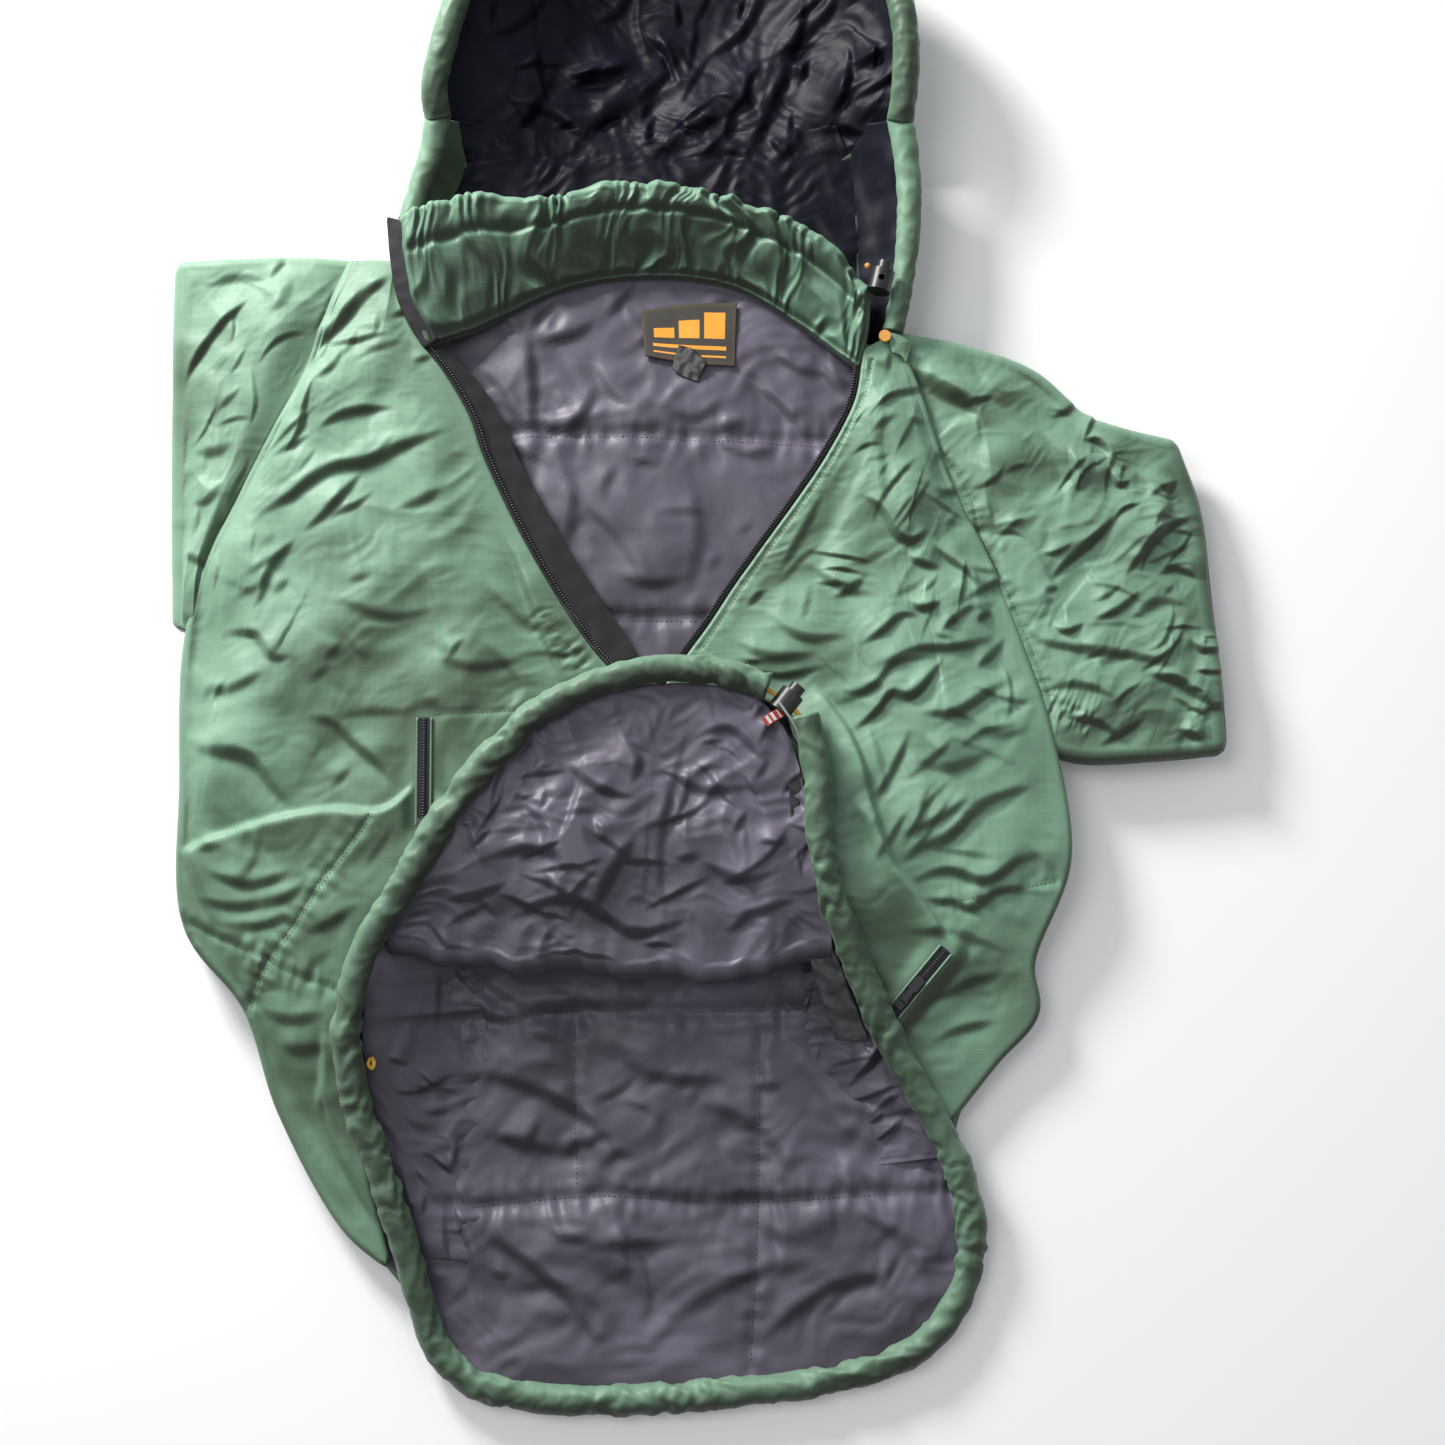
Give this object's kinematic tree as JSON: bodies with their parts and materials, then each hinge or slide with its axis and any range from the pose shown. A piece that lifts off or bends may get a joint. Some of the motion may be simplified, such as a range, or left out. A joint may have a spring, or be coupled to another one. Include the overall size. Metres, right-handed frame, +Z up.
{
  "type": "insulated bivouac anorak",
  "caption": "Hooded, insulated half-zip bivouac pullover laid open on its back, with drawcord hem, gathered collar, pocket zips and cord locks.",
  "frame": {"origin": "middle of the footprint, on the surface the garment lies on", "axes": "+Z up, +Y from the hem towards the hood, +X towards the wearer's left sleeve"},
  "size_m": [0.6867, 1.0391, 0.0802],
  "materials": {
    "shell_fabric": "calendered ripstop nylon, low sheen",
    "lining_fabric": "smooth taffeta, satin sheen",
    "insulation": "lofted polyester batting",
    "zip_tape": "woven tape with coil",
    "zip_coil": "polyester coil",
    "zip_metal": "black enamel",
    "black_plastic": "moulded",
    "spring_steel": "wire",
    "drawcord": "braided elastic, yellow-orange",
    "lock_tag": "red and white woven tag",
    "stops": "orange-brown moulded",
    "label": "woven label"
  },
  "bodies": {
    "garment": {"back_shell": "shell_fabric", "left_front_shell": "shell_fabric", "right_front_shell": "shell_fabric", "front_skirt_shell": "shell_fabric", "left_sleeve_shell": "shell_fabric", "right_sleeve_shell": "shell_fabric", "left_lower_sleeve": "shell_fabric", "right_lower_sleeve": "shell_fabric", "left_cuff": "shell_fabric", "right_cuff": "shell_fabric", "collar_outer": "shell_fabric", "collar_inner": "shell_fabric", "hem_channel": "shell_fabric", "hood_neck_panel": "shell_fabric", "back_lining": "lining_fabric", "left_front_lining": "lining_fabric", "right_front_lining": "lining_fabric", "front_skirt_lining": "lining_fabric", "left_sleeve_lining": "lining_fabric", "right_sleeve_lining": "lining_fabric", "left_pocket_bag": "lining_fabric", "right_pocket_bag": "lining_fabric", "storm_flap": "lining_fabric", "back_insulation": "insulation", "left_front_insulation": "insulation", "right_front_insulation": "insulation", "front_skirt_insulation": "insulation", "left_sleeve_insulation": "insulation", "right_sleeve_insulation": "insulation", "zip_tape_left": "zip_tape", "zip_tape_right": "zip_tape", "left_pocket_zip": "zip_tape", "right_pocket_zip": "zip_tape", "zip_closed_chain": "zip_tape", "zip_teeth_left": "zip_coil", "zip_teeth_right": "zip_coil", "hem_lock_body": "black_plastic", "hood_lock_body": "black_plastic", "hem_lock_spring": "spring_steel", "hood_lock_spring": "spring_steel", "hem_drawcord": "drawcord", "collar_drawcord": "drawcord", "hem_lock_tag": "lock_tag", "zip_stops": "stops", "neck_label": "label"},
    "hood": {"hood_shell": "shell_fabric", "hood_insulation": "insulation", "hood_lining": "lining_fabric", "hood_rim_channel": "shell_fabric", "hood_drawcord": "drawcord"},
    "main_zip_slider": {"zip_slider": "zip_metal"},
    "main_zip_pull": {"zip_pull": "black_plastic"},
    "left_pocket_slider": {"left_pocket_slider": "zip_metal"},
    "left_pocket_pull": {"left_pocket_pull": "black_plastic"},
    "right_pocket_slider": {"right_pocket_slider": "zip_metal"},
    "right_pocket_pull": {"right_pocket_pull": "black_plastic"},
    "hem_lock_button": {"hem_lock_plunger": "black_plastic"},
    "hood_lock_button": {"hood_lock_plunger": "black_plastic"}
  },
  "joints": [
    {"name": "hood_fold", "type": "hinge", "parent": "garment", "child": "hood", "pos_m": [0.007, 0.3105, 0.0137], "axis": [1, 0, 0], "range_deg": [0, 60]},
    {"name": "main_zip_run", "type": "slide", "parent": "garment", "child": "main_zip_slider", "axis": [0, -1, 0], "range_m": [0, 0.02]},
    {"name": "main_zip_pull_swing", "type": "hinge", "parent": "main_zip_slider", "child": "main_zip_pull", "pos_m": [-0.0253, -0.084, 0.049], "axis": [1, 0, 0], "range_deg": [0, 6]},
    {"name": "left_pocket_run", "type": "slide", "parent": "garment", "child": "left_pocket_slider", "axis": [0.6428, 0.7626, 0.0723], "range_m": [0, 0.036]},
    {"name": "left_pocket_pull_swing", "type": "hinge", "parent": "left_pocket_slider", "child": "left_pocket_pull", "pos_m": [0.13801, -0.26026, 0.03694], "axis": [0.7646, -0.6445, 0], "range_deg": [0, 120]},
    {"name": "right_pocket_run", "type": "slide", "parent": "garment", "child": "right_pocket_slider", "axis": [-0.0011, 0.9999, -0.0133], "range_m": [0, 0.074]},
    {"name": "right_pocket_pull_swing", "type": "hinge", "parent": "right_pocket_slider", "child": "right_pocket_pull", "pos_m": [-0.17201, -0.16312, 0.05198], "axis": [1, 0.0011, 0], "range_deg": [0, 5]},
    {"name": "hem_lock_press", "type": "slide", "parent": "garment", "child": "hem_lock_button", "axis": [-0.6197, -0.7848, 0], "range_m": [0, 0.0035], "stiffness_N_per_m": 600, "springref_m": -0.004, "deforming": ["hem_lock_spring"]},
    {"name": "hood_lock_press", "type": "slide", "parent": "garment", "child": "hood_lock_button", "axis": [-0.2425, -0.9701, 0], "range_m": [0, 0.0035], "stiffness_N_per_m": 600, "springref_m": -0.004, "deforming": ["hood_lock_spring"]}
  ]
}
